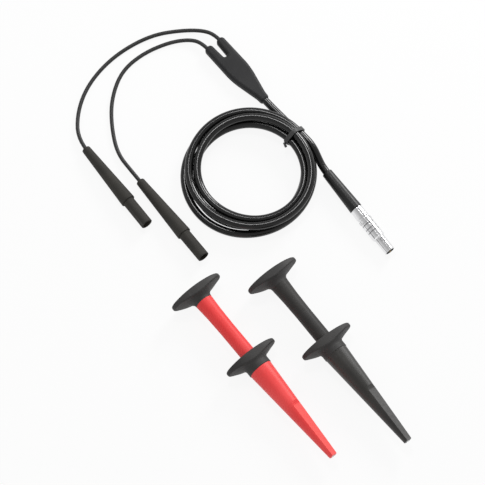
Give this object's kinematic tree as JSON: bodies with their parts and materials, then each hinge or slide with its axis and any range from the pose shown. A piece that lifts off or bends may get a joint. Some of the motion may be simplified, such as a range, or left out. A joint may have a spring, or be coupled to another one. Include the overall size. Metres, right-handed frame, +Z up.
{
  "type": "oscilloscope probe",
  "caption": "Oscilloscope probe lead set: coiled coaxial cable with push-pull plug, Y junction, leads with shrouded plugs, and red and black hook clips.",
  "frame": {"origin": "middle of the junction's flat underside, on the surface that everything lies on", "axes": "+X to the right of the picture, +Y away from the viewer, +Z up"},
  "size_m": [0.2288, 0.3219, 0.0202],
  "materials": {
    "grey_moulding": "matte, fine grain",
    "lead_rubber": "satin",
    "tinned_metal": "satin",
    "cable_jacket": "satin",
    "plug_plastic": "matte",
    "gold_brass": "bright",
    "tie_plastic": "satin",
    "boot_rubber": "satin",
    "bright_chrome": "bright, turned",
    "white_insulator": "satin",
    "red_plastic": "satin",
    "black_plastic": "satin",
    "hook_steel": "bright"
  },
  "bodies": {
    "lead_set": {"junction_moulding": "grey_moulding", "outer_lead_split_end": "lead_rubber", "outer_lead_joint": "tinned_metal", "inner_lead_split_end": "lead_rubber", "inner_lead_joint": "tinned_metal", "main_cable_split_end": "cable_jacket", "outer_lead": "lead_rubber", "outer_plug_boot": "plug_plastic", "outer_plug_shroud": "plug_plastic", "outer_plug_pin": "gold_brass", "outer_plug_lantern_spring": "gold_brass", "outer_plug_lead_end": "lead_rubber", "inner_lead": "lead_rubber", "inner_plug_boot": "plug_plastic", "inner_plug_shroud": "plug_plastic", "inner_plug_pin": "gold_brass", "inner_plug_lantern_spring": "gold_brass", "inner_plug_lead_end": "lead_rubber", "main_cable_split_side": "cable_jacket", "main_cable_coil": "cable_jacket", "main_cable_plug_side": "cable_jacket", "cable_tie": "tie_plastic", "connector_boot": "boot_rubber", "connector_nut": "bright_chrome", "connector_collet": "gold_brass", "connector_latch_sleeve": "bright_chrome", "connector_insulator": "white_insulator", "connector_centre_pin": "gold_brass", "connector_cable_end": "cable_jacket"},
    "release_sleeve": {"connector_release_sleeve": "bright_chrome"},
    "red_clip": {"red_clip_finger_flange": "black_plastic", "red_clip_barrel": "red_plastic", "red_clip_guide_bush": "black_plastic"},
    "red_plunger": {"red_clip_thumb_button": "black_plastic", "red_clip_plunger": "red_plastic", "red_clip_socket": "gold_brass", "red_clip_hook": "hook_steel", "red_clip_stop_ring": "black_plastic", "red_clip_return_spring": "hook_steel"},
    "black_clip": {"black_clip_finger_flange": "black_plastic", "black_clip_barrel": "black_plastic", "black_clip_guide_bush": "black_plastic"},
    "black_plunger": {"black_clip_thumb_button": "black_plastic", "black_clip_plunger": "black_plastic", "black_clip_socket": "gold_brass", "black_clip_hook": "hook_steel", "black_clip_stop_ring": "black_plastic", "black_clip_return_spring": "hook_steel"}
  },
  "joints": [
    {"name": "connector_release", "type": "slide", "parent": "lead_set", "child": "release_sleeve", "axis": [-0.5903, 0.8066, 0.0297], "range_m": [0, 0.0012], "stiffness_N_per_m": 4000},
    {"name": "red_clip_lift", "type": "slide", "parent": "lead_set", "child": "red_clip", "axis": [0, 0, 1], "range_m": [0, 0.12]},
    {"name": "red_clip_press", "type": "slide", "parent": "red_clip", "child": "red_plunger", "axis": [0.6225, -0.7826, 0], "range_m": [0, 0.014], "stiffness_N_per_m": 150, "deforming": ["red_clip_return_spring"]},
    {"name": "black_clip_lift", "type": "slide", "parent": "lead_set", "child": "black_clip", "axis": [0, 0, 1], "range_m": [0, 0.12]},
    {"name": "black_clip_press", "type": "slide", "parent": "black_clip", "child": "black_plunger", "axis": [0.6061, -0.7954, 0], "range_m": [0, 0.014], "stiffness_N_per_m": 150, "deforming": ["black_clip_return_spring"]}
  ]
}
